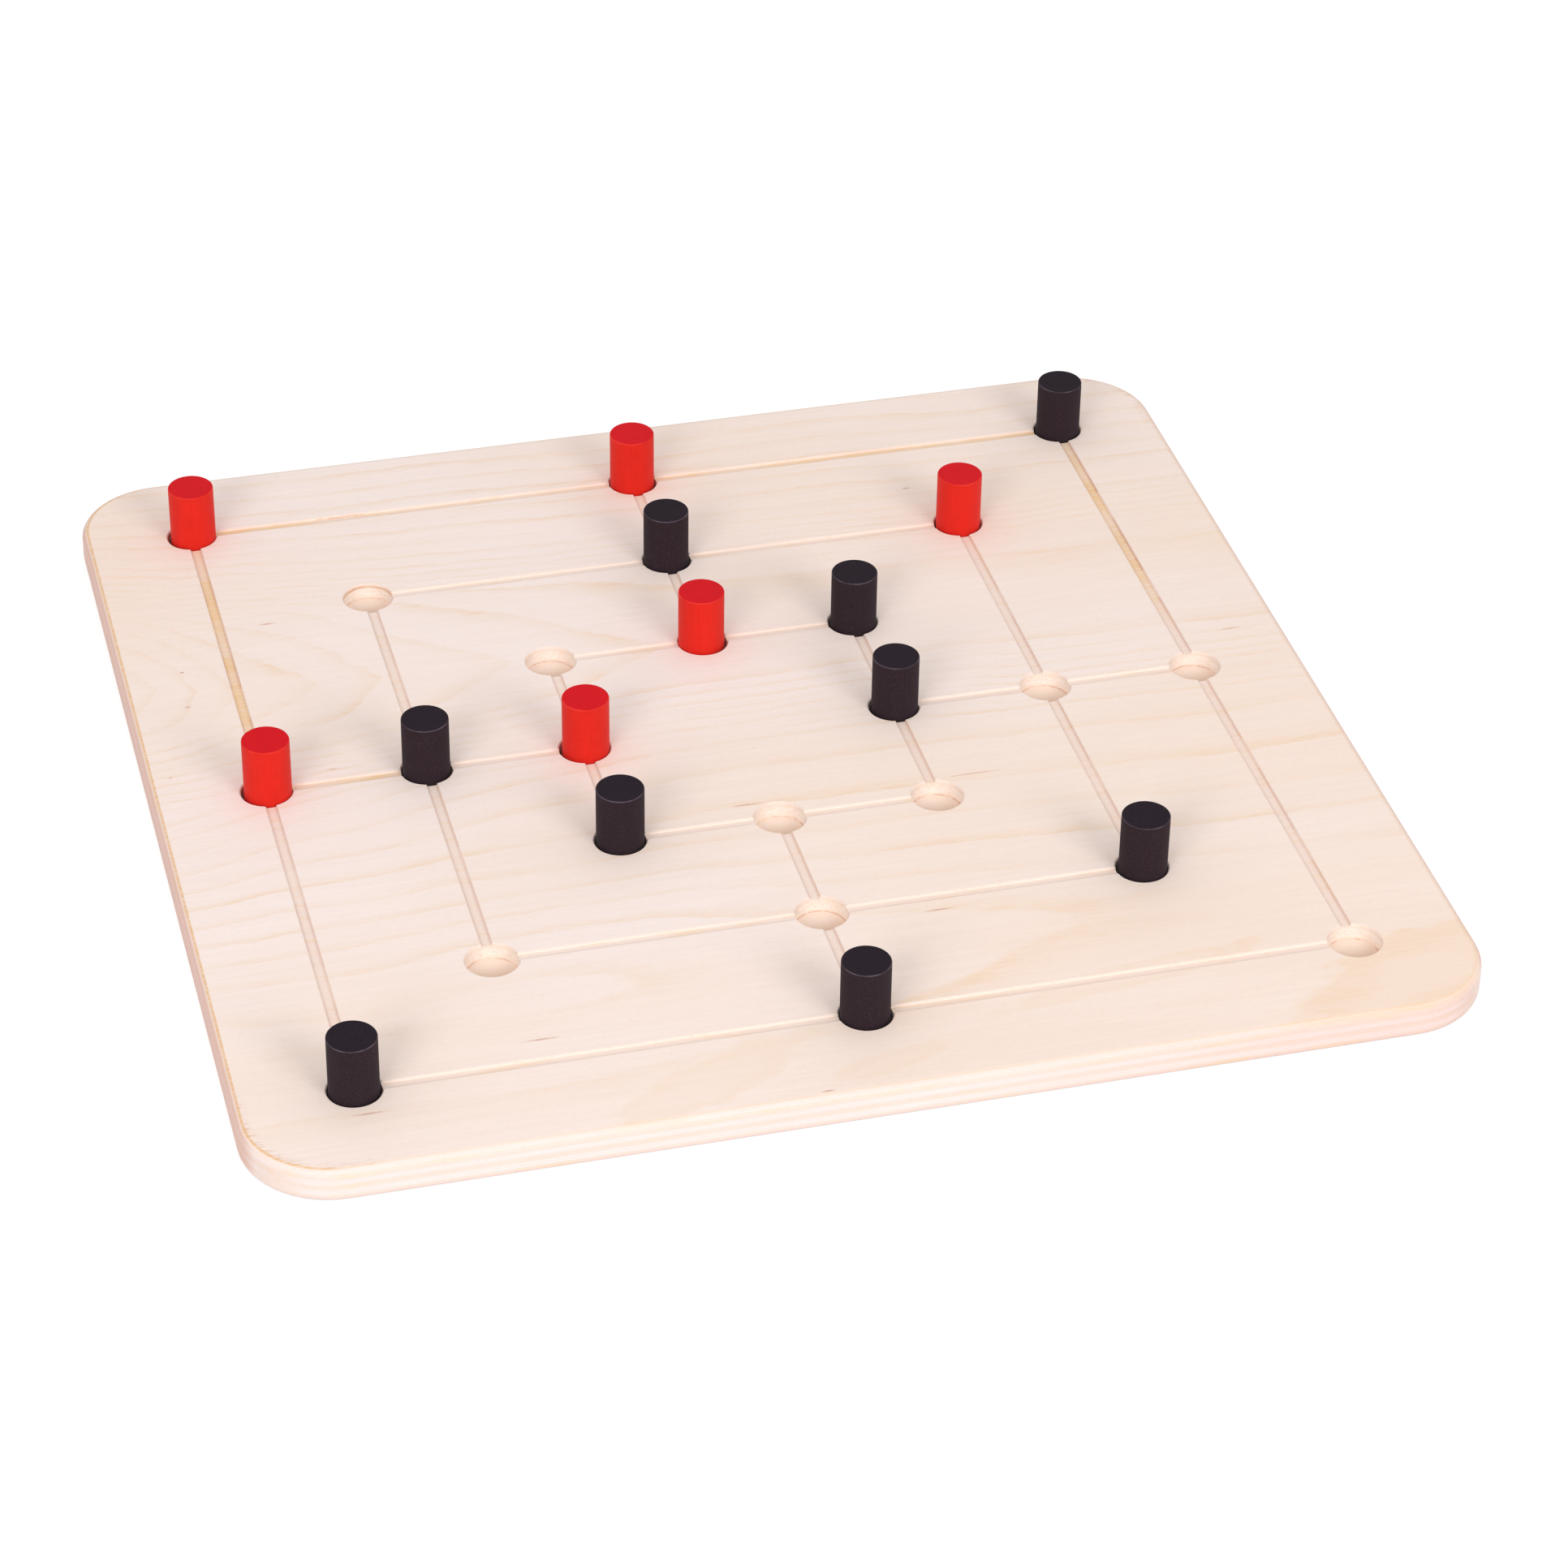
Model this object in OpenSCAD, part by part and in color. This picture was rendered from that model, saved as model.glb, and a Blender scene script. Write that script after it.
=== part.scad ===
// Nine men's morris board of birch plywood, with round wooden pegs.
// The origin is the centre of the underside. X runs along the front edge, Y to the back.
// Columns a to g run along X and rows 1 to 7 along Y, so a1 is the front left corner hole.

/* [Board] */
// Length of each side of the square board
board_side = 300; // [275:1:360]
// Radius of the board's corners, seen from above
corner_r = 22; // [6:0.5:30]
// Radius rolled on the top and bottom edges
edge_r = 2; // [0.5:0.1:3]

/* [Plywood] */
// Thickness of each outer veneer, sanded
face_t = 0.9; // [0.6:0.05:1.5]
// Thickness of each inner veneer
core_t = 1.44; // [1.2:0.01:1.9]

/* [Playing field] */
// Distance from one hole to the next on the grid
pitch = 40.5; // [32:0.5:44]
// Depth of a hole
hole_depth = 4.5; // [3:0.1:7]
// Easing at the rim of a hole
rim_ease = 0.3; // [0.1:0.05:0.5]
// Width of a groove
groove_w = 2.6; // [1.5:0.1:4]
// Depth of a groove
groove_depth = 0.7; // [0.4:0.05:1.2]
// Easing along both edges of a groove
groove_ease = 0.2; // [0.05:0.05:0.35]

/* [Pegs] */
// Diameter of a peg
peg_d = 12; // [8:0.1:14]
// Gap all round a peg that stands in the middle of its hole
peg_play = 0.5; // [0.3:0.05:0.9]
// Length of a peg
peg_len = 20; // [12:0.5:30]
// Radius of the easing at both ends of a peg
peg_ease = 0.4; // [0.2:0.05:1]

/* [Hidden] */
inner_veneers = 5;
board_t = 2 * face_t + inner_veneers * core_t;
straight_edge = board_side - 2 * corner_r;
hole_d = peg_d + 2 * peg_play;
hole_floor = board_t - hole_depth;
rings = 3;
// Height by which a cutter stands out above the board
over = 1;
// Direction in which the pegs stand off the middle of their holes
push_angle = -15;

// Colour, place, and share of the play by which each peg is off the middle of its hole
PEGS = [
    ["red", "a7", 0.9],
    ["red", "d7", -0.4],
    ["red", "f6", 0],
    ["red", "d5", -0.8],
    ["red", "c4", 0.65],
    ["red", "a4", 0.65],
    ["black", "g7", 0.25],
    ["black", "d6", -0.45],
    ["black", "e5", 0.4],
    ["black", "e4", 0.4],
    ["black", "b4", -0.2],
    ["black", "c3", 0],
    ["black", "f2", 0.4],
    ["black", "d1", -0.4],
    ["black", "a1", -0.2],
];

function peg_name(peg) = str(peg[0], "_peg_", peg[1]);
function peg_colour(peg) = peg[0] == "red" ? "firebrick" : "#2d282b";
function column(peg) = search(peg[1][0], "abcdefg")[0] - rings;
function row(peg) = ord(peg[1][1]) - ord("1") - rings;
function push(peg) = peg[2] * peg_play * [cos(push_angle), sin(push_angle)];

// Veneers are counted from the underside, and the last is the face
function veneer_top(k) = face_t + k * core_t;
function veneer_foot(k) = veneer_top(k - 1);

$fn = 96;

// Section through the board's edge, from the centre of a corner outwards
module edge_section() {
    square([corner_r - edge_r, board_t]);
    translate([0, edge_r]) square([corner_r, board_t - 2 * edge_r]);
    for (z = [edge_r, board_t - edge_r]) translate([corner_r - edge_r, z]) circle(edge_r);
}

// The same section between two heights
module edge_band(foot, top) {
    intersection() {
        edge_section();
        translate([0, foot]) square([corner_r, top - foot]);
    }
}

// Slice of the uncut board between two heights
module slice(foot, top) {
    translate([-straight_edge / 2, -straight_edge / 2, foot])
        cube([straight_edge, straight_edge, top - foot]);
    for (side = [0 : 3]) rotate(90 * side) translate([straight_edge / 2, straight_edge / 2]) {
        rotate_extrude(angle = 90) edge_band(foot, top);
        rotate([90, 0, 0]) linear_extrude(straight_edge) edge_band(foot, top);
    }
}

// Cutter for one hole, with its flat floor and eased rim
module hole() {
    hole_r = hole_d / 2;
    rotate_extrude() polygon([
        [0, hole_floor],
        [hole_r, hole_floor],
        [hole_r, board_t - rim_ease],
        [hole_r + rim_ease, board_t],
        [hole_r + rim_ease, board_t + over],
        [0, board_t + over]
    ]);
}

// Cutter for one groove along X, with its middle on the Z axis
module groove(length) {
    half = groove_w / 2;
    rotate([90, 0, 90]) linear_extrude(length, center = true) polygon([
        [-half, board_t - groove_depth],
        [half, board_t - groove_depth],
        [half, board_t - groove_ease],
        [half + groove_ease, board_t],
        [half + groove_ease, board_t + over],
        [-half - groove_ease, board_t + over],
        [-half - groove_ease, board_t],
        [-half, board_t - groove_ease]
    ]);
}

// Holes at the corners and at the middle of each side of the three squares
module holes() {
    for (ring = [1 : rings], x = [-1 : 1], y = [-1 : 1])
        if (x != 0 || y != 0) translate(ring * pitch * [x, y]) hole();
}

// Grooves along the sides of the squares, and from the outer square to the inner one
module grooves() {
    reach = (rings - 1) * pitch;
    for (side = [0 : 3]) rotate(90 * side) {
        for (ring = [1 : rings]) translate([0, -ring * pitch]) groove(2 * ring * pitch);
        translate([pitch + reach / 2, 0]) groove(reach);
    }
}

// One veneer of the drilled and grooved board
module veneer(foot, top) {
    difference() {
        slice(foot, top);
        holes();
        grooves();
    }
}

// Veneers whose grain runs along X
module long_veneer(foot, top) {
    color("#f5e6dc") veneer(foot, top);
}

// Veneers whose grain runs along Y, which show end grain at the front
module cross_veneer(foot, top) {
    color("#e3c9b3") veneer(foot, top);
}

module face_veneer() long_veneer(veneer_top(inner_veneers), board_t);
module upper_cross_veneer() cross_veneer(veneer_foot(5), veneer_top(5));
module upper_long_veneer() long_veneer(veneer_foot(4), veneer_top(4));
module middle_cross_veneer() cross_veneer(veneer_foot(3), veneer_top(3));
module lower_long_veneer() long_veneer(veneer_foot(2), veneer_top(2));
module lower_cross_veneer() cross_veneer(veneer_foot(1), veneer_top(1));
module back_veneer() long_veneer(0, face_t);

// Half of a peg's section, with both ends eased
module peg_section() {
    peg_r = peg_d / 2;
    square([peg_r - peg_ease, peg_len]);
    translate([0, peg_ease]) square([peg_r, peg_len - 2 * peg_ease]);
    for (z = [peg_ease, peg_len - peg_ease]) translate([peg_r - peg_ease, z]) circle(peg_ease);
}

// A peg, standing on the floor of its hole
module peg(peg) {
    place = pitch * [column(peg), row(peg)] + push(peg);
    color(peg_colour(peg)) translate([place.x, place.y, hole_floor]) rotate_extrude() peg_section();
}

face_veneer();
upper_cross_veneer();
upper_long_veneer();
middle_cross_veneer();
lower_long_veneer();
lower_cross_veneer();
back_veneer();
for (peg = PEGS) peg(peg);
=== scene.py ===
"""Nine men's morris board: a drilled and grooved birch plywood board, its painted pegs and a studio."""
import math

import bpy
from bpy.props import FloatProperty, FloatVectorProperty, PointerProperty
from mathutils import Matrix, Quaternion, Vector


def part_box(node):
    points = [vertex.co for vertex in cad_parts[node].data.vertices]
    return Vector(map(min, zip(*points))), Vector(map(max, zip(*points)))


bl_info = {
    "name": "Nine Men's Morris Board",
    "version": (1, 0, 0),
    "blender": (4, 5, 0),
    "location": "View3D > Sidebar > Morris Board",
    "description": "Finishes a plywood morris board with round pegs, and sets up its studio",
    "category": "Object",
}

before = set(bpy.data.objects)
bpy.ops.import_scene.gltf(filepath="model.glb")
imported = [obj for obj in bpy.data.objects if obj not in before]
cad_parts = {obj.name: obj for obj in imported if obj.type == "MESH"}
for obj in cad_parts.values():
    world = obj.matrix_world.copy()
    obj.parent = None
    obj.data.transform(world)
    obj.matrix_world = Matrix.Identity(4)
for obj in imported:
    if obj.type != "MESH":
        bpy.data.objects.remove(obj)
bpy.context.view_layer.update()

MM = 0.001
WHITE = (1.0, 1.0, 1.0, 1.0)

LONG_VENEERS = ("upper_long_veneer", "lower_long_veneer", "back_veneer")
CROSS_VENEERS = ("upper_cross_veneer", "middle_cross_veneer", "lower_cross_veneer")


def seen(red, green, blue):
    """The linear colour of an 8-bit colour, as it looks on a screen."""
    def linear(level):
        level /= 255
        return level / 12.92 if level <= 0.04045 else ((level + 0.055) / 1.055) ** 2.4
    return linear(red), linear(green), linear(blue)


def colour(name, description, default):
    """A colour setting."""
    return FloatVectorProperty(
        name=name, description=description, subtype="COLOR", size=3, min=0, max=1, default=default
    )


class BirchSettings(bpy.types.PropertyGroup):
    """Colours and sizes of the plywood."""

    face: colour("Face", "Sanded birch between the growth lines", seen(248, 232, 225))
    heart: colour("Warm face", "Sanded birch towards the warmer right side", seen(247, 227, 214))
    line: colour("Growth line", "Latewood at the end of each year's growth", seen(241, 209, 175))
    long_cut: colour("Long cut", "Veneer edge cut along its grain", seen(239, 222, 217))
    end_cut: colour("End cut", "Veneer edge cut across its grain", seen(236, 214, 203))
    rim: colour("Rim", "Tan line where sanding meets the rolled edge", seen(230, 184, 134))
    sawn: colour("Sawn side", "Tint of the board's sides and of its front right edge", seen(243, 223, 217))
    # The lower-edge tone is painted shade along the board's bottom arris
    lower_shade: colour("Lower edge", "Board's lower edge, darker from handling", seen(188, 180, 188))
    groove: colour("Groove floor", "Veneer cut open at the bottom of a groove", seen(239, 217, 205))
    glue: colour("Glue", "Glue that shows where a groove runs deep", seen(238, 199, 150))
    bored: colour("Hole wall", "Freshly bored wood in the wall of a hole", seen(247, 236, 226))
    # This tone also gives the painted shade on the front side of each hole's floor
    seam: colour("Seam", "Tan band in a hole's wall, and the shaded side of its floor", seen(228, 190, 158))
    drilled: colour("Drilled floor", "Floor of a hole", seen(246, 226, 211))
    # This tone also gives the dark line in groove walls across the grain, which is partly burn and partly
    # painted shade
    burn_and_shade: colour("Burn", "Line round a hole's floor, walls across the grain, scuffs", seen(204, 150, 116))
    fleck: colour("Fleck", "Short dark marks in the face", seen(192, 126, 92))
    pitch: FloatProperty(
        name="Hole pitch", description="Distance from hole to hole", subtype="DISTANCE", unit="LENGTH",
        min=0.01, default=40.5 * MM,
    )
    hole_radius: FloatProperty(
        name="Hole radius", description="Radius of the holes", subtype="DISTANCE", unit="LENGTH",
        min=0.001, default=6.5 * MM,
    )
    hole_depth: FloatProperty(
        name="Hole depth", description="Depth of the holes", subtype="DISTANCE", unit="LENGTH",
        min=0.001, default=4.5 * MM,
    )
    groove_depth: FloatProperty(
        name="Groove depth", description="Depth of the grooves", subtype="DISTANCE", unit="LENGTH",
        min=0.0001, default=0.7 * MM,
    )


class PegSettings(bpy.types.PropertyGroup):
    """Paint colours of the pegs."""

    red: colour("Red paint", "Satin paint on the side of the red pegs", seen(215, 38, 28))
    red_end: colour("Red ends", "Red paint where it soaks into the end grain", seen(212, 3, 22))
    # The worn tones also give the painted highlight on the pegs' rims
    red_worn_and_highlit: colour("Worn red", "Tone that the red paint wears to", seen(232, 96, 88))
    black: colour("Black paint", "Matte paint on the side of the black pegs", seen(43, 31, 36))
    black_end: colour("Black ends", "Black paint where it soaks into the end grain", seen(32, 23, 31))
    black_worn_and_highlit: colour("Worn black", "Tone that the black paint wears to", seen(108, 96, 108))


class StudioSettings(bpy.types.PropertyGroup):
    """Lamps and surroundings."""

    sky: FloatProperty(
        name="Surrounding light", description="Brightness of the white surroundings", subtype="FACTOR",
        min=0, max=1, default=0.7,
    )
    key_left: FloatProperty(
        name="Left softbox", description="Power of the softbox at the front left", subtype="POWER",
        unit="POWER", min=0, default=12.5,
    )
    key_right: FloatProperty(
        name="Right softbox", description="Power of the softbox at the front right", subtype="POWER",
        unit="POWER", min=0, default=12.5,
    )
    softbox: FloatProperty(
        name="Softbox side", description="Length of each side of a softbox", subtype="DISTANCE",
        unit="LENGTH", min=0.1, default=0.8,
    )


def place(tree, kind, **settings):
    """A new node of one kind, with its settings made."""
    node = tree.nodes.new(kind)
    for name, value in settings.items():
        setattr(node, name, value)
    return node


def feed(tree, socket, value):
    """Joins an output to an input, or sets the input to a plain value."""
    if isinstance(value, bpy.types.NodeSocket):
        tree.links.new(value, socket)
    else:
        socket.default_value = value


def maths(tree, operation, *values, clamp=False):
    """Arithmetic on numbers."""
    node = place(tree, "ShaderNodeMath", operation=operation, use_clamp=clamp)
    for socket, value in zip(node.inputs, values):
        feed(tree, socket, value)
    return node.outputs[0]


def vectors(tree, operation, *values):
    """Arithmetic on vectors."""
    node = place(tree, "ShaderNodeVectorMath", operation=operation)
    for socket, value in zip(node.inputs, values):
        feed(tree, socket, value)
    return node.outputs[0]


def scaled(tree, vector, factor):
    """A vector times one number."""
    node = place(tree, "ShaderNodeVectorMath", operation="SCALE")
    feed(tree, node.inputs[0], vector)
    node.inputs["Scale"].default_value = factor
    return node.outputs[0]


def length(tree, vector):
    """The length of a vector."""
    node = place(tree, "ShaderNodeVectorMath", operation="LENGTH")
    feed(tree, node.inputs[0], vector)
    return node.outputs["Value"]


def split(tree, vector):
    """The three parts of a vector."""
    node = place(tree, "ShaderNodeSeparateXYZ")
    feed(tree, node.inputs[0], vector)
    return node.outputs


def joined(tree, x, y, z):
    """A vector from its three parts."""
    node = place(tree, "ShaderNodeCombineXYZ")
    for socket, value in zip(node.inputs, (x, y, z)):
        feed(tree, socket, value)
    return node.outputs[0]


def ramp(tree, value, low, high, to_low=0.0, to_high=1.0, smooth=True):
    """Maps a stretch of values onto another, and holds the ends."""
    node = place(tree, "ShaderNodeMapRange", interpolation_type="SMOOTHSTEP" if smooth else "LINEAR")
    for socket, setting in zip(node.inputs, (value, low, high, to_low, to_high)):
        feed(tree, socket, setting)
    return node.outputs[0]


def times(tree, first, second, clamp=False):
    """The product of two numbers."""
    return maths(tree, "MULTIPLY", first, second, clamp=clamp)


def unsigned(tree, value):
    """A number without its sign."""
    return maths(tree, "ABSOLUTE", value)


def most(tree, first, second):
    """The greater of two numbers, where the first may be missing."""
    return second if first is None else maths(tree, "MAXIMUM", first, second)


def between(tree, value, low, low_full, high_full, high):
    """One in the middle of a stretch of values, and fading to zero at both of its ends."""
    return times(tree, ramp(tree, value, low, low_full), ramp(tree, value, high, high_full))


def noise(tree, vector, stretch=None, scale=1.0, detail=2.0, roughness=0.5):
    """Noise from 0 to 1. Stretch gives its fineness along X, Y and Z."""
    if stretch:
        vector = vectors(tree, "MULTIPLY", vector, stretch)
    node = place(tree, "ShaderNodeTexNoise")
    feed(tree, node.inputs["Vector"], vector)
    node.inputs["Scale"].default_value = scale
    node.inputs["Detail"].default_value = detail
    node.inputs["Roughness"].default_value = roughness
    return node.outputs["Fac"]


def mixed(tree, factor, first, second, blend="MIX"):
    """A mix of two colours."""
    node = place(tree, "ShaderNodeMix", data_type="RGBA", blend_type=blend)
    for socket, value in zip((node.inputs[0], node.inputs[6], node.inputs[7]), (factor, first, second)):
        if not isinstance(value, (bpy.types.NodeSocket, float, int)):
            value = (*value[:3], 1)
        feed(tree, socket, value)
    return node.outputs[2]


def curve(tree, value, points, top):
    """A smooth curve through points, which are in order and have heights from 0 to top."""
    low, high = points[0][0], points[-1][0]
    node = place(tree, "ShaderNodeFloatCurve")
    feed(tree, node.inputs["Value"], ramp(tree, value, low, high, smooth=False))
    line = node.mapping.curves[0]
    spots = [((x - low) / (high - low), y / top) for x, y in points]
    while len(line.points) < len(spots):
        line.points.new(0.5, 0.5)
    for point, spot in zip(line.points, spots):
        point.location = spot
    node.mapping.update()
    return times(tree, node.outputs[0], top)


def new_group(name, inputs, outputs):
    """An empty shader group with named sockets, and its two end nodes."""
    tree = bpy.data.node_groups.new(name, "ShaderNodeTree")
    for label, kind, default in inputs:
        socket = tree.interface.new_socket(name=label, in_out="INPUT", socket_type="NodeSocket" + kind)
        socket.default_value = default
    for label, kind in outputs:
        tree.interface.new_socket(name=label, in_out="OUTPUT", socket_type="NodeSocket" + kind)
    return tree, tree.nodes.new("NodeGroupInput").outputs, tree.nodes.new("NodeGroupOutput").inputs


def use_group(tree, name, **values):
    """Places a group in a tree and feeds its inputs. An underscore in a name stands for a space."""
    node = place(tree, "ShaderNodeGroup", node_tree=bpy.data.node_groups[name])
    for label, value in values.items():
        socket = node.inputs[label.replace("_", " ")]
        if socket.type == "RGBA" and not isinstance(value, bpy.types.NodeSocket):
            value = (*value[:3], 1)
        feed(tree, socket, value)
    return node.outputs


def new_material(name):
    """A material with an empty tree, its shader and its output."""
    material = bpy.data.materials.new(name)
    material.use_nodes = True
    tree = material.node_tree
    tree.nodes.clear()
    shader = place(tree, "ShaderNodeBsdfPrincipled")
    output = place(tree, "ShaderNodeOutputMaterial")
    tree.links.new(shader.outputs[0], output.inputs[0])
    return material, tree, shader


def bump(tree, height, distance, strength=1.0):
    """The normal of a surface with this height, in metres at full height."""
    node = place(tree, "ShaderNodeBump")
    node.inputs["Strength"].default_value = strength
    node.inputs["Distance"].default_value = distance
    feed(tree, node.inputs["Height"], height)
    return node.outputs[0]


def grain_space(tree, crosswise):
    """Place in millimetres and normal, turned so that X runs along the veneer's grain."""
    spot = scaled(tree, place(tree, "ShaderNodeTexCoord").outputs["Object"], 1 / MM)
    normal = place(tree, "ShaderNodeNewGeometry").outputs["Normal"]
    if crosswise:
        x, y, z = split(tree, spot)
        spot = joined(tree, y, x, z)
        x, y, z = split(tree, normal)
        normal = joined(tree, y, x, z)
    return spot, normal


def board_half():
    """Half of the board's width, in millimetres."""
    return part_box("face_veneer")[1].x / MM


def face_top():
    """Height of the playing face, in millimetres."""
    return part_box("face_veneer")[1].z / MM


def hole_floor(birch):
    """Height of the holes' floors, in millimetres."""
    return face_top() - birch.hole_depth / MM


# Brightness of birch before its fibres and its other fine marks are added
PLAIN_BRIGHTNESS = 0.865


def make_birch_group():
    """Birch in grain space: fibres, pores, growth lines and end grain."""
    tree, given, result = new_group(
        "birch",
        [
            ("Spot", "Vector", (0, 0, 0)), ("Normal", "Vector", (0, 0, 1)), ("Rings", "Float", 0.0),
            ("Face", "Color", WHITE), ("Line", "Color", WHITE), ("Long Cut", "Color", WHITE),
            ("End Cut", "Color", WHITE), ("Line Strength", "Float", 1.0),
        ],
        [("Colour", "Color"), ("Roughness", "Float"), ("Height", "Float"), ("Fibres", "Float")],
    )
    spot = given["Spot"]
    facing = split(tree, given["Normal"])
    fibres = noise(tree, spot, (0.06, 1.6, 1.6), detail=4, roughness=0.6)
    threads = noise(tree, spot, (0.02, 0.7, 0.7), detail=3, roughness=0.6)
    streaks = noise(tree, spot, (0.12, 2.2, 2.2), detail=3, roughness=0.6)
    pores = noise(tree, spot, (0.45, 5.0, 5.0), detail=2)
    ripple = noise(tree, spot, (2.6, 0.5, 0.5), detail=2)
    mottle = noise(tree, spot, (0.02, 0.06, 0.06), detail=3)
    patches = noise(tree, spot, (0.025, 0.09, 0.09), detail=2)

    # Each line darkens slowly through the year's growth, ends sharply, and breaks into fine streaks
    year = maths(tree, "FRACT", given["Rings"])
    slow = maths(tree, "POWER", ramp(tree, year, 0.45, 0.96, smooth=False), 2.5)
    line = times(tree, slow, ramp(tree, year, 1.0, 0.95, smooth=False))
    chance = place(tree, "ShaderNodeTexWhiteNoise", noise_dimensions="1D")
    feed(tree, chance.inputs["W"], maths(tree, "FLOOR", given["Rings"]))
    line = times(tree, line, ramp(tree, chance.outputs["Value"], 0, 1, 0.55, 1.1, smooth=False))
    line = times(tree, line, ramp(tree, patches, 0.32, 0.66, 0.3, 1.0))
    line = times(tree, line, ramp(tree, streaks, 0.36, 0.62, 0.25, 1.2))
    line = times(tree, line, given["Line Strength"], clamp=True)

    # Faces show the lines, and cuts show the ends or the sides of the fibres
    flat = mixed(tree, line, given["Face"], given["Line"])
    ends = ramp(tree, unsigned(tree, facing["X"]), 0.35, 0.9)
    wall = ramp(tree, unsigned(tree, facing["Z"]), 0.98, 0.8)
    cut = mixed(tree, ends, given["Long Cut"], given["End Cut"])
    blotch = noise(tree, spot, (0.2, 0.045, 0.2), detail=3, roughness=0.6)
    cut = mixed(tree, times(tree, ends, ramp(tree, blotch, 0.5, 0.72, 0, 0.55)), cut, given["Line"])
    sheared = noise(tree, spot, (0.03, 0.03, 1.3), detail=3, roughness=0.6)
    cut = mixed(tree, ramp(tree, sheared, 0.5, 0.7, 0, 0.4), cut, given["End Cut"])
    tone = mixed(tree, wall, flat, cut)

    # Each noise adds a little brightness, and the pores are dark. Darker wood is also warmer
    shade = PLAIN_BRIGHTNESS
    for part, share in ((fibres, 0.07), (ripple, 0.03), (mottle, 0.05), (streaks, 0.05), (threads, 0.07)):
        shade = maths(tree, "MULTIPLY_ADD", part, share, shade)
    shade = maths(tree, "SUBTRACT", shade, ramp(tree, pores, 0.57, 0.72, 0.0, 0.07))
    tint = joined(tree, maths(tree, "POWER", shade, 0.7), shade, maths(tree, "POWER", shade, 1.5))
    feed(tree, result["Colour"], mixed(tree, 1.0, tone, tint, "MULTIPLY"))
    feed(tree, result["Roughness"], ramp(tree, fibres, 0.3, 0.7, 0.66, 0.56))
    feed(tree, result["Height"], maths(tree, "MULTIPLY_ADD", pores, -0.5, times(tree, streaks, 0.6)))
    feed(tree, result["Fibres"], fibres)


# Years of growth across the board, from front to back: place in millimetres and count
YEARS_ACROSS = [
    (-155, 19.2), (-147, 19.25), (-133, 19.38), (-120, 19.58), (-106, 19.85), (-98, 20), (-86, 19.69),
    (-74, 19.05), (-61, 18), (-48, 17), (-35, 16.2), (-17.5, 15.36), (-12, 14.95), (-6.5, 14.5), (-3, 13.6),
    (0.5, 12.7), (4.5, 11.8), (8, 10.8), (12, 9.8), (17.5, 8.75), (21.5, 7.9), (26, 7.5), (34, 7.2),
    (38, 7.06), (41, 7), (44, 7.08), (50, 7.28), (60, 7.55), (70, 7.8), (76, 8), (81, 8.9), (87, 10.6),
    (94, 12.3), (106, 14), (126, 16.3), (155, 19.5),
]
# The left figure: its axis behind the board's middle and its width, in millimetres, and the years along the
# axis from left to right, which are counted from a base
LEFT_AXIS = 41
LEFT_WIDTH = 65
LEFT_BASE = 9
YEARS_LEFT = [
    (-155, 1), (-137, 2.4), (-132, 3), (-121, 4), (-101, 5), (-84, 6), (-50, 7), (-9, 8), (15, 8.13),
    (55, 8.15), (155, 8.25),
]
# The same for the front figure, whose axis lies before the board's middle
FRONT_AXIS = -98
FRONT_WIDTH = 40
FRONT_BASE = 1
YEARS_FRONT = [
    (-155, 2.2), (-130, 2.1), (-110, 2.05), (-80, 2.15), (-53, 2), (0, 1.55), (58, 1), (100, 0.7),
    (155, 0.5),
]
# How far the left figure's axis rises at the board's left edge, over what length it sinks back, and how far
# from the axis the lines follow it, in millimetres
AXIS_RISE = 12
AXIS_SINKS_OVER = 40
AXIS_FOLLOWED = 45
# How far the lines wave, and how far they are jagged across and along the grain, in millimetres
WAVES = 7.0
JAGS_ACROSS = 1.8
JAGS_ALONG = 5.0
# How far the lines wave in the veneers without a figure, in millimetres
PLAIN_WAVES = 60


def hump(tree, value, centre, width):
    """A bell curve, 1 at its centre."""
    away = maths(tree, "DIVIDE", maths(tree, "SUBTRACT", value, centre), width)
    return maths(tree, "EXPONENT", times(tree, times(tree, away, away), -1))


def face_years(tree, spot):
    """Years of growth over the face: one pointed figure from the left and one along the front."""
    x, y = split(tree, spot)[:2]
    waves = noise(tree, spot, (0.022, 0.035, 0.035), detail=2, roughness=0.4)
    jags = noise(tree, spot, (0.12, 0.22, 0.22), detail=3, roughness=0.6)
    waves = maths(tree, "SUBTRACT", waves, 0.5)
    jags = maths(tree, "SUBTRACT", jags, 0.5)
    y = maths(tree, "MULTIPLY_ADD", waves, WAVES, y)
    y = maths(tree, "MULTIPLY_ADD", jags, JAGS_ACROSS, y)
    x = maths(tree, "MULTIPLY_ADD", jags, JAGS_ALONG, x)

    # The left figure's axis curves to the back at the left edge, and all lines sink a little at the right
    rise = maths(tree, "DIVIDE", maths(tree, "ADD", x, board_half()), -AXIS_SINKS_OVER)
    rise = times(tree, maths(tree, "EXPONENT", rise), AXIS_RISE)
    axis = maths(tree, "ADD", rise, LEFT_AXIS)
    y = maths(tree, "SUBTRACT", y, times(tree, rise, hump(tree, y, axis, AXIS_FOLLOWED)))
    y = maths(tree, "ADD", y, ramp(tree, x, 50, 110, 0, 3.5))

    # The two figures fade into the plain lines on either side of their axes
    years = curve(tree, y, YEARS_ACROSS, top=22)
    left = maths(tree, "SUBTRACT", curve(tree, x, YEARS_LEFT, top=10), LEFT_BASE)
    years = maths(tree, "MULTIPLY_ADD", left, hump(tree, y, LEFT_AXIS, LEFT_WIDTH), years)
    front = maths(tree, "SUBTRACT", curve(tree, x, YEARS_FRONT, top=3), FRONT_BASE)
    years = maths(tree, "MULTIPLY_ADD", front, hump(tree, y, FRONT_AXIS, FRONT_WIDTH), years)

    # A small swelling in the lines at the front left
    swell = times(tree, hump(tree, x, -55, 35), hump(tree, y, -74, 14))
    return maths(tree, "MULTIPLY_ADD", swell, 0.35, years)


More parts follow.
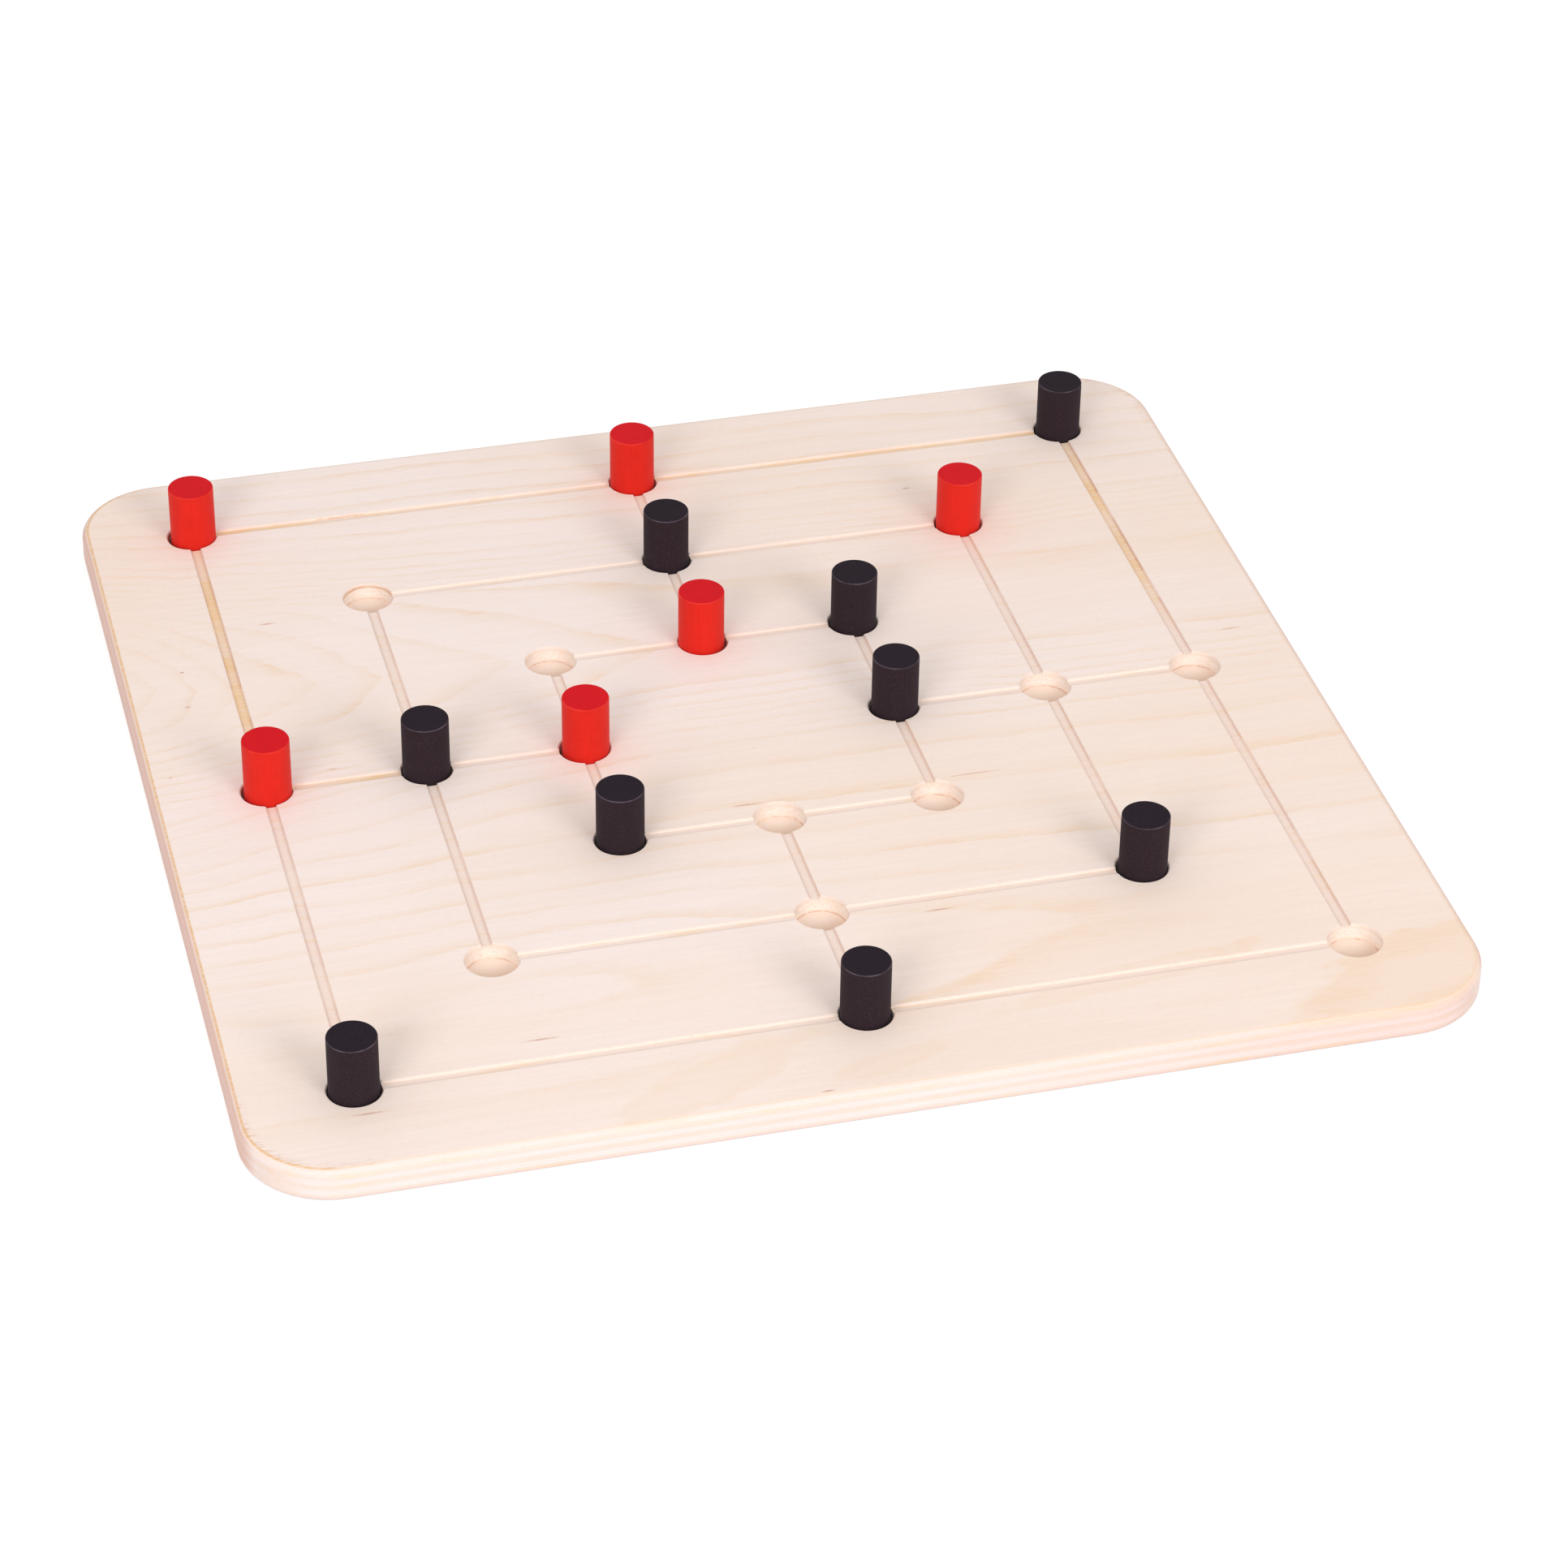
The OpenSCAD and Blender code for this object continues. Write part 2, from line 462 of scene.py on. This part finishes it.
def plain_years(tree, spot, width):
    """Years of growth in a veneer without a figure, each about this many millimetres wide."""
    waves = noise(tree, spot, (0.008, 0.02, 0.02), detail=3, roughness=0.45)
    years = maths(tree, "DIVIDE", split(tree, spot)["Y"], width)
    return maths(tree, "ADD", years, times(tree, waves, PLAIN_WAVES / width))


# Short dark marks in the face: place, length and width in millimetres
FLECK_STRENGTH = 0.6
FLECKS = [
    (-109, 74.5, 5.5, 0.9), (72, 101, 3.0, 0.9), (136, 14.5, 7.0, 0.7), (28, -86.5, 9.0, 0.8),
    (-76, -113.5, 11.0, 0.9), (-7, -33.5, 10.0, 0.7), (52, -33.5, 18.0, 0.6), (50, -121.8, 6.0, 1.0),
    (-120, -131, 10.0, 0.8), (-16, -147.5, 4.5, 0.9), (-134, 57, 1.8, 1.2), (-135, 41, 2.0, 1.0),
    (-104, 5.5, 4.0, 0.6), (-144, 11, 1.8, 0.6),
]


def fleck_mask(tree, spot):
    """Where the short dark marks are."""
    ragged = noise(tree, spot, (0.8, 3.0, 1.0), detail=3)
    total = None
    for x, y, long, wide in FLECKS:
        offset = vectors(tree, "SUBTRACT", spot, (x, y, face_top()))
        reach = length(tree, vectors(tree, "MULTIPLY", offset, (2 / long, 2 / wide, 0.5)))
        total = most(tree, total, ramp(tree, maths(tree, "ADD", reach, ragged), 1.6, 0.6))
    return total


# Broad warm flames in the face: place, length and width in millimetres, and turn in degrees
FLAMES = [(134, -137, 84, 30, 22), (-42, -138, 62, 16, 26), (2, -140, 30, 8, 12), (66, -122, 70, 9, 10)]
# How ragged their outline is, where 1 is half of their width
FLAME_RAGGED = 1.4


def flame_mask(tree, spot):
    """Where the face has broad warm flames."""
    x, y = split(tree, spot)[:2]
    ragged = noise(tree, spot, (0.06, 0.16, 0.0), detail=4, roughness=0.6)
    total = None
    for centre_x, centre_y, long, wide, turn in FLAMES:
        cosine, sine = math.cos(math.radians(turn)), math.sin(math.radians(turn))
        aside = maths(tree, "SUBTRACT", x, centre_x)
        deep = maths(tree, "SUBTRACT", y, centre_y)
        run = maths(tree, "MULTIPLY_ADD", aside, cosine, times(tree, deep, sine))
        rise = maths(tree, "MULTIPLY_ADD", deep, cosine, times(tree, aside, -sine))
        run = maths(tree, "DIVIDE", run, long / 2)
        rise = maths(tree, "DIVIDE", rise, wide / 2)
        reach = maths(tree, "MULTIPLY_ADD", ragged, FLAME_RAGGED, length(tree, joined(tree, run, rise, 0)))
        # The outline is a little stronger than the inside
        inside = ramp(tree, reach, 1.0, 1.5, 0.55, 1.0)
        total = most(tree, total, times(tree, ramp(tree, reach, 1.8, 1.5), inside))
    return total


def glue_mask(tree, spot):
    """Where the grooves run deep enough to show glue: the left, right and back of the outer square."""
    x, y = split(tree, spot)[:2]
    left = times(tree, ramp(tree, x, -80, -92), ramp(tree, y, -10, 6))
    right = times(tree, ramp(tree, x, 112, 118), ramp(tree, y, 12, 55, 0, 1.0))
    back = times(tree, ramp(tree, y, 112, 118), ramp(tree, x, -60, 110, 0.35, 0.85))
    patches = noise(tree, spot, (0.05, 0.05, 0.0), detail=2)
    ticks = noise(tree, spot, (0.1, 1.1, 0.0), detail=3, roughness=0.6)
    deep = most(tree, left, most(tree, right, back))
    patches = ramp(tree, patches, 0.35, 0.6, 0.45, 1.0)
    ticks = ramp(tree, ticks, 0.35, 0.6, 0.5, 1.0)
    return times(tree, deep, times(tree, patches, ticks))


# How far the middle of a rounded corner lies from the board's middle, along X and along Y, in millimetres
CORNER_CENTRE = 128
SCUFF_STRENGTH = 0.5


def rubbed_mask(tree, spot):
    """Where the rim is scuffed: the front left and the back right corner."""
    x, y, height = split(tree, spot)
    reach = times(tree, maths(tree, "ADD", x, y), math.sqrt(0.5))
    corners = ramp(tree, unsigned(tree, reach), 182, 196)
    past_x = most(tree, maths(tree, "SUBTRACT", unsigned(tree, x), CORNER_CENTRE), 0)
    past_y = most(tree, maths(tree, "SUBTRACT", unsigned(tree, y), CORNER_CENTRE), 0)
    near_rim = ramp(tree, length(tree, joined(tree, past_x, past_y, 0)), 17.5, 20.5)
    dashes = noise(tree, spot, (0.3, 3.0, 0.3), detail=3, roughness=0.6)
    area = times(tree, corners, near_rim)
    area = times(tree, area, ramp(tree, height, face_top() - 0.3, face_top() - 0.05))
    return times(tree, area, ramp(tree, dashes, 0.5, 0.62))


# How closely the drill's lines lie in a hole's wall and on its floor, in radians per millimetre, and how far
# they waver on the floor, in radians
WALL_LINES = 11
FLOOR_LINES = 7.5
FLOOR_WAVER = 9


def hole_reach(tree, birch, spot):
    """Distance from the middle of the nearest place on the hole grid."""
    x, y = split(tree, spot)[:2]
    half = birch.pitch / MM / 2
    x = maths(tree, "PINGPONG", x, half)
    y = maths(tree, "PINGPONG", y, half)
    return length(tree, joined(tree, x, y, 0))


def bored_wall(tree, birch, spot, tone):
    """Tone of the holes' walls: pale and clean, with a tan band near the rim and faint turned lines."""
    board_spot, normal = grain_space(tree, crosswise=False)
    x, y, height = split(tree, board_spot)
    facing = split(tree, normal)
    radius = birch.hole_radius / MM
    top, low = face_top(), hole_floor(birch)
    near = ramp(tree, hole_reach(tree, birch, spot), radius + 0.5, radius + 0.2)
    wall = times(tree, near, ramp(tree, unsigned(tree, facing["Z"]), 0.7, 0.3))
    smudge = noise(tree, spot, (0.3, 0.3, 1.6), detail=3)
    pale = mixed(tree, ramp(tree, smudge, 0.3, 0.7, 0.65, 0.95), tone, birch.bored)

    # The band below the rim is strong in the hole at the back left and faint in the others
    strong = times(tree, ramp(tree, x, -60, -75), ramp(tree, y, 60, 75))
    band = between(tree, height, top - 1.5, top - 1.1, top - 0.6, top - 0.3)
    band = times(tree, band, ramp(tree, strong, 0, 1, 0.25, 1))
    band = times(tree, band, ramp(tree, smudge, 0.35, 0.62, 0.4, 1.0))
    tan = mixed(tree, times(tree, strong, 0.4), birch.seam, birch.burn_and_shade)

    # The drill leaves broken lines as it turns, and one line close above the floor
    turned = noise(tree, spot, (0.9, 0.9, 3.0), detail=3, roughness=0.6)
    arcs = ramp(tree, maths(tree, "SINE", times(tree, height, WALL_LINES)), 0.4, 1, 0, 0.8)
    band = most(tree, band, times(tree, arcs, ramp(tree, turned, 0.46, 0.62)))
    last = between(tree, height, low + 0.3, low + 0.42, low + 0.48, low + 0.6)
    last = times(tree, last, ramp(tree, unsigned(tree, facing["X"]), 0.2, 0.9, 0.2, 0.7))
    return mixed(tree, wall, tone, mixed(tree, most(tree, band, last), pale, tan))


# How much birch shines, and the height of its fibres' relief in metres
BIRCH_GLOSS = 0.25
BIRCH_RELIEF = 0.05 * MM


def finish_birch(tree, shader, birch, wood, tone):
    """Feeds a birch material's shader, with a pinker tone on the board's sides and at its front right."""
    spot, normal = grain_space(tree, crosswise=False)
    x, y = split(tree, spot)[:2]
    upright = ramp(tree, unsigned(tree, split(tree, normal)["Z"]), 0.95, 0.7)
    side = ramp(tree, unsigned(tree, x), board_half() - 2.5, board_half() - 0.2)
    front = times(tree, ramp(tree, x, 0, 140, 0, 0.4), ramp(tree, y, -140, -146))
    side = times(tree, most(tree, side, front), upright)
    tinted = mixed(tree, 1.0, tone, birch.sawn, "MULTIPLY")
    feed(tree, shader.inputs["Base Color"], mixed(tree, side, tone, tinted))
    feed(tree, shader.inputs["Roughness"], wood["Roughness"])
    feed(tree, shader.inputs["Normal"], bump(tree, wood["Height"], BIRCH_RELIEF, 0.6))
    shader.inputs["Specular IOR Level"].default_value = BIRCH_GLOSS


def sanded_tone(tree, birch, spot):
    """Tone between the face's growth lines: warmer to the right, along the front and at the back left."""
    x, y = split(tree, spot)[:2]
    drift = ramp(tree, noise(tree, spot, (0.006, 0.012, 0.0), detail=1), 0.35, 0.65, -0.2, 0.5)
    warm = maths(tree, "ADD", ramp(tree, x, -60, 150, 0, 0.7, smooth=False), drift)
    warm = maths(tree, "ADD", ramp(tree, y, -75, -110, 0, 0.6), warm)
    back_left = times(tree, ramp(tree, x, -100, -145), ramp(tree, y, 20, 90))
    warm = maths(tree, "MAXIMUM", warm, back_left, clamp=True)
    return mixed(tree, warm, birch.face, birch.heart)


def marked(tree, birch, spot, normal, fibres, tone):
    """Adds what lies on the sanded face: flames, flecks, scuffs and the tan line of the rim."""
    x = split(tree, spot)["X"]
    flames = times(tree, flame_mask(tree, spot), ramp(tree, fibres, 0.35, 0.65, 0.15, 0.34))
    tone = mixed(tree, times(tree, flames, ramp(tree, x, 70, 110, 1.0, 1.9)), tone, birch.line)
    tone = mixed(tree, times(tree, fleck_mask(tree, spot), FLECK_STRENGTH), tone, birch.fleck)
    tone = mixed(tree, times(tree, rubbed_mask(tree, spot), SCUFF_STRENGTH), tone, birch.burn_and_shade)
    rim = between(tree, split(tree, normal)["Z"], 0.86, 0.95, 0.985, 0.999)
    rim = times(tree, rim, ramp(tree, fibres, 0.3, 0.6, 0.4, 0.95))
    rim = times(tree, rim, ramp(tree, x, -115, -145, 0.3, 1.0))
    return mixed(tree, rim, tone, birch.rim)


def grooved(tree, birch, spot, normal, inside, wood_tone, tone):
    """Adds the floors and walls of the grooves. Inside is one where they are, and zero at the edge."""
    height = split(tree, spot)["Z"]
    facing = split(tree, normal)
    top, depth = face_top(), birch.groove_depth / MM
    glued = glue_mask(tree, spot)

    # The floor is cross-cut fibre, so short bands of the growth lines cross it
    bands = noise(tree, spot, (0.05, 0.55, 0.0), detail=3, roughness=0.6)
    opened = mixed(tree, 0.6, wood_tone, birch.groove)
    opened = mixed(tree, ramp(tree, bands, 0.52, 0.66, 0, 0.5), opened, birch.line)
    opened = mixed(tree, glued, opened, birch.glue)
    floor = ramp(tree, height, top - 0.5 * depth, top - 0.8 * depth)
    tone = mixed(tree, times(tree, floor, ramp(tree, facing["Z"], 0.7, 0.95)), tone, opened)

    # Walls along the grain are pale, and walls across the grain show a dark line that is partly burn and
    # partly painted shade
    inside = times(tree, inside, ramp(tree, height, top, top - 0.1))
    lengthwise = ramp(tree, unsigned(tree, facing["Y"]), 0.6, 0.9, 0, 0.7)
    lengthwise = times(tree, lengthwise, maths(tree, "MULTIPLY_ADD", glued, -0.6, 1))
    tone = mixed(tree, times(tree, lengthwise, inside), tone, birch.bored)
    radius = birch.hole_radius / MM
    clear = ramp(tree, hole_reach(tree, birch, spot), radius + 0.4, radius + 0.8)
    crossing = times(tree, ramp(tree, unsigned(tree, facing["X"]), 0.6, 0.9), times(tree, inside, clear))
    crossing = times(tree, crossing, maths(tree, "MULTIPLY_ADD", glued, 0.5, 0.12))
    return mixed(tree, crossing, tone, birch.burn_and_shade)


# The grooves end inside the first of these distances from the board's middle, in millimetres
GROOVES_WITHIN = 136
EDGE_FROM = 140


def face_birch(birch):
    """Face veneer with its own figure, flecks, and grooves cut nearly down to the glue."""
    material, tree, shader = new_material("face_birch")
    spot, normal = grain_space(tree, crosswise=False)
    x, y = split(tree, spot)[:2]

    # Walls in the grooves are cut a little warmer than the board's own edge
    inside = ramp(tree, most(tree, unsigned(tree, x), unsigned(tree, y)), EDGE_FROM, GROOVES_WITHIN)
    edge_cut = mixed(tree, 0.5, birch.long_cut, birch.groove)
    calm = times(tree, ramp(tree, x, -50, -95), ramp(tree, y, -80, -100))
    wood = use_group(
        tree, "birch", Spot=spot, Normal=normal, Rings=face_years(tree, spot),
        Face=sanded_tone(tree, birch, spot), Line=birch.line,
        Long_Cut=mixed(tree, inside, edge_cut, birch.groove), End_Cut=birch.end_cut,
        Line_Strength=maths(tree, "MULTIPLY_ADD", calm, -0.4, 0.7),
    )
    tone = marked(tree, birch, spot, normal, wood["Fibres"], wood["Colour"])
    tone = grooved(tree, birch, spot, normal, inside, wood["Colour"], tone)
    tone = bored_wall(tree, birch, spot, tone)
    finish_birch(tree, shader, birch, wood, tone)
    return material


def drilled_floor(tree, birch, spot, normal, tone):
    """Tone of the holes' floors: faint arcs that the drill cuts, painted shade on the front side, and a dark
    line round the edge.
    """
    parts = split(tree, spot)
    height = parts["Z"]
    radius = birch.hole_radius / MM
    reach = hole_reach(tree, birch, spot)
    low = hole_floor(birch)
    wobble = noise(tree, spot, scale=0.35, detail=2)
    arcs = maths(tree, "MULTIPLY_ADD", reach, FLOOR_LINES, times(tree, wobble, FLOOR_WAVER))
    arcs = maths(tree, "SINE", arcs)
    drilled = mixed(tree, ramp(tree, arcs, -1, 1, 0.6, 0.95), tone, birch.drilled)

    # Painted shade: the side of the floor nearer to the front, where the wall would shade it, is darkened
    # towards the seam tone
    half = birch.pitch / MM / 2
    back = maths(tree, "WRAP", parts["X"], half, -half)
    drilled = mixed(tree, ramp(tree, back, 0.65 * radius, -0.15 * radius, 0, 0.5), drilled, birch.seam)
    facing_up = ramp(tree, split(tree, normal)["Z"], 0.7, 0.9)
    floor = times(tree, ramp(tree, height, low + 0.06, low + 0.02), facing_up)
    tone = mixed(tree, floor, tone, drilled)

    # The line that the drill's spur leaves
    ring = between(tree, reach, radius - 0.25, radius - 0.05, radius + 0.1, radius + 0.3)
    ring = times(tree, ring, ramp(tree, height, low + 0.3, low + 0.1))
    ring = times(tree, ring, ramp(tree, wobble, 0.38, 0.6, 0.15, 0.6))
    return mixed(tree, ring, tone, birch.burn_and_shade)


def lower_edge(tree, birch, spot, tone):
    """Tone of the lowest millimetre of the board's edge: pinker above, and painted shade below, along the
    arris that turns under to the table.
    """
    height = split(tree, spot)["Z"]
    pink = between(tree, height, 0.4, 0.55, 0.9, 1.0)
    tone = mixed(tree, times(tree, pink, 0.7), tone, birch.end_cut)
    # Painted shade along the bottom arris
    return mixed(tree, ramp(tree, height, 0.5, 0.25, 0, 0.95), tone, birch.lower_shade)


def plain_birch(name, birch, crosswise, width, strength, drilled=False):
    """A veneer that shows at the edges, in the holes or underneath."""
    material, tree, shader = new_material(name)
    spot, normal = grain_space(tree, crosswise)
    wood = use_group(
        tree, "birch", Spot=spot, Normal=normal, Rings=plain_years(tree, spot, width), Face=birch.face,
        Line=birch.line, Long_Cut=birch.long_cut, End_Cut=birch.end_cut, Line_Strength=strength,
    )
    tone = bored_wall(tree, birch, spot, wood["Colour"])
    tone = lower_edge(tree, birch, spot, tone)
    if drilled:
        tone = drilled_floor(tree, birch, spot, normal, tone)
    finish_birch(tree, shader, birch, wood, tone)
    return material


def make_paint_group():
    """Brushed and tumbled paint on a turned peg: speckle, faint grain, and a pale rim that is partly wear
    and partly a painted highlight.
    """
    tree, given, result = new_group(
        "painted_wood",
        [
            ("Spot", "Vector", (0, 0, 0)), ("Normal", "Vector", (0, 0, 1)), ("Paint", "Color", WHITE),
            ("End Paint", "Color", WHITE), ("Worn", "Color", WHITE), ("Speckle", "Float", 0.1),
            ("Wear", "Float", 0.5),
        ],
        [("Colour", "Color"), ("Grit", "Float"), ("Height", "Float")],
    )
    spot = given["Spot"]
    grit = noise(tree, spot, scale=4.0, detail=3, roughness=0.75)
    grain = noise(tree, spot, (1.8, 1.8, 0.1), detail=3)
    patch = noise(tree, spot, scale=0.3, detail=3)
    up = split(tree, given["Normal"])["Z"]
    end = ramp(tree, unsigned(tree, up), 0.8, 0.97)
    paint = mixed(tree, end, given["Paint"], given["End Paint"])
    # The pale rim is partly wear and partly a painted highlight on the rounded edge
    rim = between(tree, up, 0.12, 0.5, 0.75, 0.97)
    worn_and_highlit = times(tree, rim, ramp(tree, patch, 0.35, 0.65, 0.35, 1.0))
    worn_and_highlit = times(tree, worn_and_highlit, given["Wear"], clamp=True)
    specks = times(tree, ramp(tree, grit, 0.52, 0.68), given["Speckle"])
    tone = mixed(tree, most(tree, worn_and_highlit, specks), paint, given["Worn"])
    shade = maths(tree, "MULTIPLY_ADD", grain, 0.16, 0.92)
    shade = times(tree, shade, maths(tree, "MULTIPLY_ADD", patch, 0.16, 0.92))
    feed(tree, result["Colour"], mixed(tree, 1.0, tone, joined(tree, shade, shade, shade), "MULTIPLY"))
    feed(tree, result["Grit"], grit)
    feed(tree, result["Height"], maths(tree, "MULTIPLY_ADD", grit, 0.5, times(tree, grain, 0.5)))


# How much the pegs' paint shines, and the height of its relief in metres
PAINT_GLOSS = 0.06
PAINT_SHEEN = 0.03
PAINT_RELIEF = 0.04 * MM


def peg_paint(name, paint, end_paint, worn_and_highlit, speckle, wear_and_highlight, smooth, matte):
    """Paint for one colour of peg. Smooth and matte are the least and greatest roughness."""
    material, tree, shader = new_material(name)
    spot, normal = grain_space(tree, crosswise=False)
    coat = use_group(
        tree, "painted_wood", Spot=spot, Normal=normal, Paint=paint, End_Paint=end_paint, Worn=worn_and_highlit,
        Speckle=speckle, Wear=wear_and_highlight,
    )
    feed(tree, shader.inputs["Base Color"], coat["Colour"])
    feed(tree, shader.inputs["Roughness"], ramp(tree, coat["Grit"], 0.3, 0.7, smooth, matte))
    feed(tree, shader.inputs["Normal"], bump(tree, coat["Height"], PAINT_RELIEF, 0.7))
    shader.inputs["Specular IOR Level"].default_value = PAINT_GLOSS
    shader.inputs["Sheen Weight"].default_value = PAINT_SHEEN
    return material


def wear_material(node_name, material):
    """Puts a material on a part of the frame."""
    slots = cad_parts[node_name].data.materials
    slots.clear()
    slots.append(material)


class MORRIS_OT_board(bpy.types.Operator):
    """Finish the seven veneers of the board"""

    bl_idname = "morris.board"
    bl_label = "Board"

    def execute(self, context):
        birch = context.scene.birch
        make_birch_group()
        wear_material("face_veneer", face_birch(birch))
        long_grain = plain_birch("long_birch", birch, crosswise=False, width=7.0, strength=0.7)
        cross_grain = plain_birch(
            "cross_birch", birch, crosswise=True, width=5.0, strength=0.25, drilled=True
        )
        for name in LONG_VENEERS:
            wear_material(name, long_grain)
        for name in CROSS_VENEERS:
            wear_material(name, cross_grain)
        return {"FINISHED"}


class MORRIS_OT_pegs(bpy.types.Operator):
    """Paint the red and the black pegs"""

    bl_idname = "morris.pegs"
    bl_label = "Pegs"

    def execute(self, context):
        pegs = context.scene.pegs
        make_paint_group()
        # The wear amount below also sets the painted highlight on each peg's rim
        red = peg_paint(
            "red_paint", pegs.red, pegs.red_end, pegs.red_worn_and_highlit, speckle=0.08, wear_and_highlight=0.25, smooth=0.45,
            matte=0.6,
        )
        black = peg_paint(
            "black_paint", pegs.black, pegs.black_end, pegs.black_worn_and_highlit, speckle=0.22, wear_and_highlight=0.6, smooth=0.7,
            matte=0.85,
        )
        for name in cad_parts:
            if name.startswith("red_peg"):
                wear_material(name, red)
            if name.startswith("black_peg"):
                wear_material(name, black)
        return {"FINISHED"}


# The camera's place and aim in metres, its roll in degrees, its lens and sensor in millimetres, and the
# distance in metres from which it sees
CAMERA_PLACE = Vector((-0.25155, -0.98328, 0.70888))
CAMERA_AIM = Vector((0.00451, -0.02701, 0.009))
CAMERA_ROLL = 0.928
CAMERA_LENS = 111.34
CAMERA_SENSOR = 36
CAMERA_NEAREST = 0.05


def make_camera():
    """Camera at the photograph's angle."""
    data = bpy.data.cameras.new("camera")
    data.lens = CAMERA_LENS
    data.sensor_width = CAMERA_SENSOR
    data.clip_start = CAMERA_NEAREST
    camera = bpy.data.objects.new("camera", data)
    camera.rotation_mode = "QUATERNION"
    camera.location = CAMERA_PLACE
    gaze = (CAMERA_AIM - CAMERA_PLACE).to_track_quat("-Z", "Y")
    camera.rotation_quaternion = gaze @ Quaternion((0, 0, 1), math.radians(CAMERA_ROLL))
    bpy.context.scene.collection.objects.link(camera)
    bpy.context.scene.camera = camera


# Height angle of the softboxes in degrees, and their distance from the board's middle in metres
SOFTBOX_CLIMB = 29
SOFTBOX_DISTANCE = 2.0


def make_softbox(name, azimuth, side, power):
    """A square lamp that faces the board. Azimuth 0 is straight in front, and grows to the right."""
    data = bpy.data.lights.new(name, "AREA")
    data.shape = "SQUARE"
    data.size = side
    data.energy = power
    lamp = bpy.data.objects.new(name, data)
    turn, climb = math.radians(azimuth), math.radians(SOFTBOX_CLIMB)
    outward = Vector((math.sin(turn) * math.cos(climb), -math.cos(turn) * math.cos(climb), math.sin(climb)))
    lamp.location = outward * SOFTBOX_DISTANCE
    lamp.rotation_mode = "QUATERNION"
    lamp.rotation_quaternion = outward.to_track_quat("Z", "Y")
    bpy.context.scene.collection.objects.link(lamp)


def seen_directly(tree):
    """One where the camera, a gloss or a glass ray meets the surface, and zero for other light."""
    rays = place(tree, "ShaderNodeLightPath").outputs
    direct = most(tree, rays["Is Camera Ray"], rays["Is Glossy Ray"])
    return most(tree, direct, rays["Is Transmission Ray"])


def make_surroundings(sky):
    """White all round for the camera, and a plain level of light on the board."""
    world = bpy.data.worlds.new("surroundings")
    world.use_nodes = True
    tree = world.node_tree
    background = tree.nodes["Background"]
    background.inputs["Color"].default_value = WHITE
    feed(tree, background.inputs["Strength"], ramp(tree, seen_directly(tree), 0, 1, sky, 1, smooth=False))
    bpy.context.scene.world = world


# Half of the table's side, and its depth below the board, in metres
TABLE_HALF = 4.0
TABLE_DROP = 0.0001
# The table's tone in other light and where it is seen, and the glow that makes it look white there
TABLE_TONE = (0.8, 0.8, 0.8)
TABLE_SEEN_TONE = (0.45, 0.45, 0.45)
TABLE_GLOW = 0.68


def make_floor():
    """A pale table that looks white and keeps the board's soft shadow."""
    signs = ((-1, -1), (1, -1), (1, 1), (-1, 1))
    corners = [(x * TABLE_HALF, y * TABLE_HALF, -TABLE_DROP) for x, y in signs]
    mesh = bpy.data.meshes.new("table")
    mesh.from_pydata(corners, [], [(0, 1, 2, 3)])
    table = bpy.data.objects.new("table", mesh)
    bpy.context.scene.collection.objects.link(table)
    material, tree, shader = new_material("table_white")
    direct = seen_directly(tree)
    feed(tree, shader.inputs["Base Color"], mixed(tree, direct, TABLE_TONE, TABLE_SEEN_TONE))
    shader.inputs["Roughness"].default_value = 0.9
    shader.inputs["Specular IOR Level"].default_value = 0.0
    shader.inputs["Emission Color"].default_value = WHITE
    feed(tree, shader.inputs["Emission Strength"], times(tree, direct, TABLE_GLOW))
    mesh.materials.append(material)


class MORRIS_OT_stage(bpy.types.Operator):
    """Set the table, the lamps, the surroundings and the camera"""

    bl_idname = "morris.stage"
    bl_label = "Stage"

    def execute(self, context):
        studio = context.scene.studio
        make_camera()
        make_softbox("softbox_left", azimuth=-38, side=studio.softbox, power=studio.key_left)
        make_softbox("softbox_right", azimuth=24, side=studio.softbox, power=studio.key_right)
        make_surroundings(studio.sky)
        make_floor()
        context.scene.view_settings.view_transform = "Standard"
        return {"FINISHED"}


class MORRIS_PT_panel(bpy.types.Panel):
    """Buttons and settings of the morris board"""

    bl_idname = "MORRIS_PT_panel"
    bl_label = "Morris Board"
    bl_space_type = "VIEW_3D"
    bl_region_type = "UI"
    bl_category = "Morris Board"

    def draw(self, context):
        layout = self.layout
        for operator in OPERATORS:
            layout.operator(operator.bl_idname)
        for group in (context.scene.birch, context.scene.pegs, context.scene.studio):
            box = layout.box()
            for name in group.bl_rna.properties.keys():
                if name not in ("rna_type", "name"):
                    box.prop(group, name)


OPERATORS = (MORRIS_OT_board, MORRIS_OT_pegs, MORRIS_OT_stage)
CLASSES = (BirchSettings, PegSettings, StudioSettings, *OPERATORS, MORRIS_PT_panel)


def register():
    """Adds the classes, and the settings to every scene."""
    for item in CLASSES:
        bpy.utils.register_class(item)
    bpy.types.Scene.birch = PointerProperty(type=BirchSettings)
    bpy.types.Scene.pegs = PointerProperty(type=PegSettings)
    bpy.types.Scene.studio = PointerProperty(type=StudioSettings)


def unregister():
    """Takes away what register adds."""
    del bpy.types.Scene.birch
    del bpy.types.Scene.pegs
    del bpy.types.Scene.studio
    for item in reversed(CLASSES):
        bpy.utils.unregister_class(item)


def main():
    """Builds the whole scene."""
    register()
    bpy.ops.morris.board()
    bpy.ops.morris.pegs()
    bpy.ops.morris.stage()


if __name__ == "__main__":
    main()
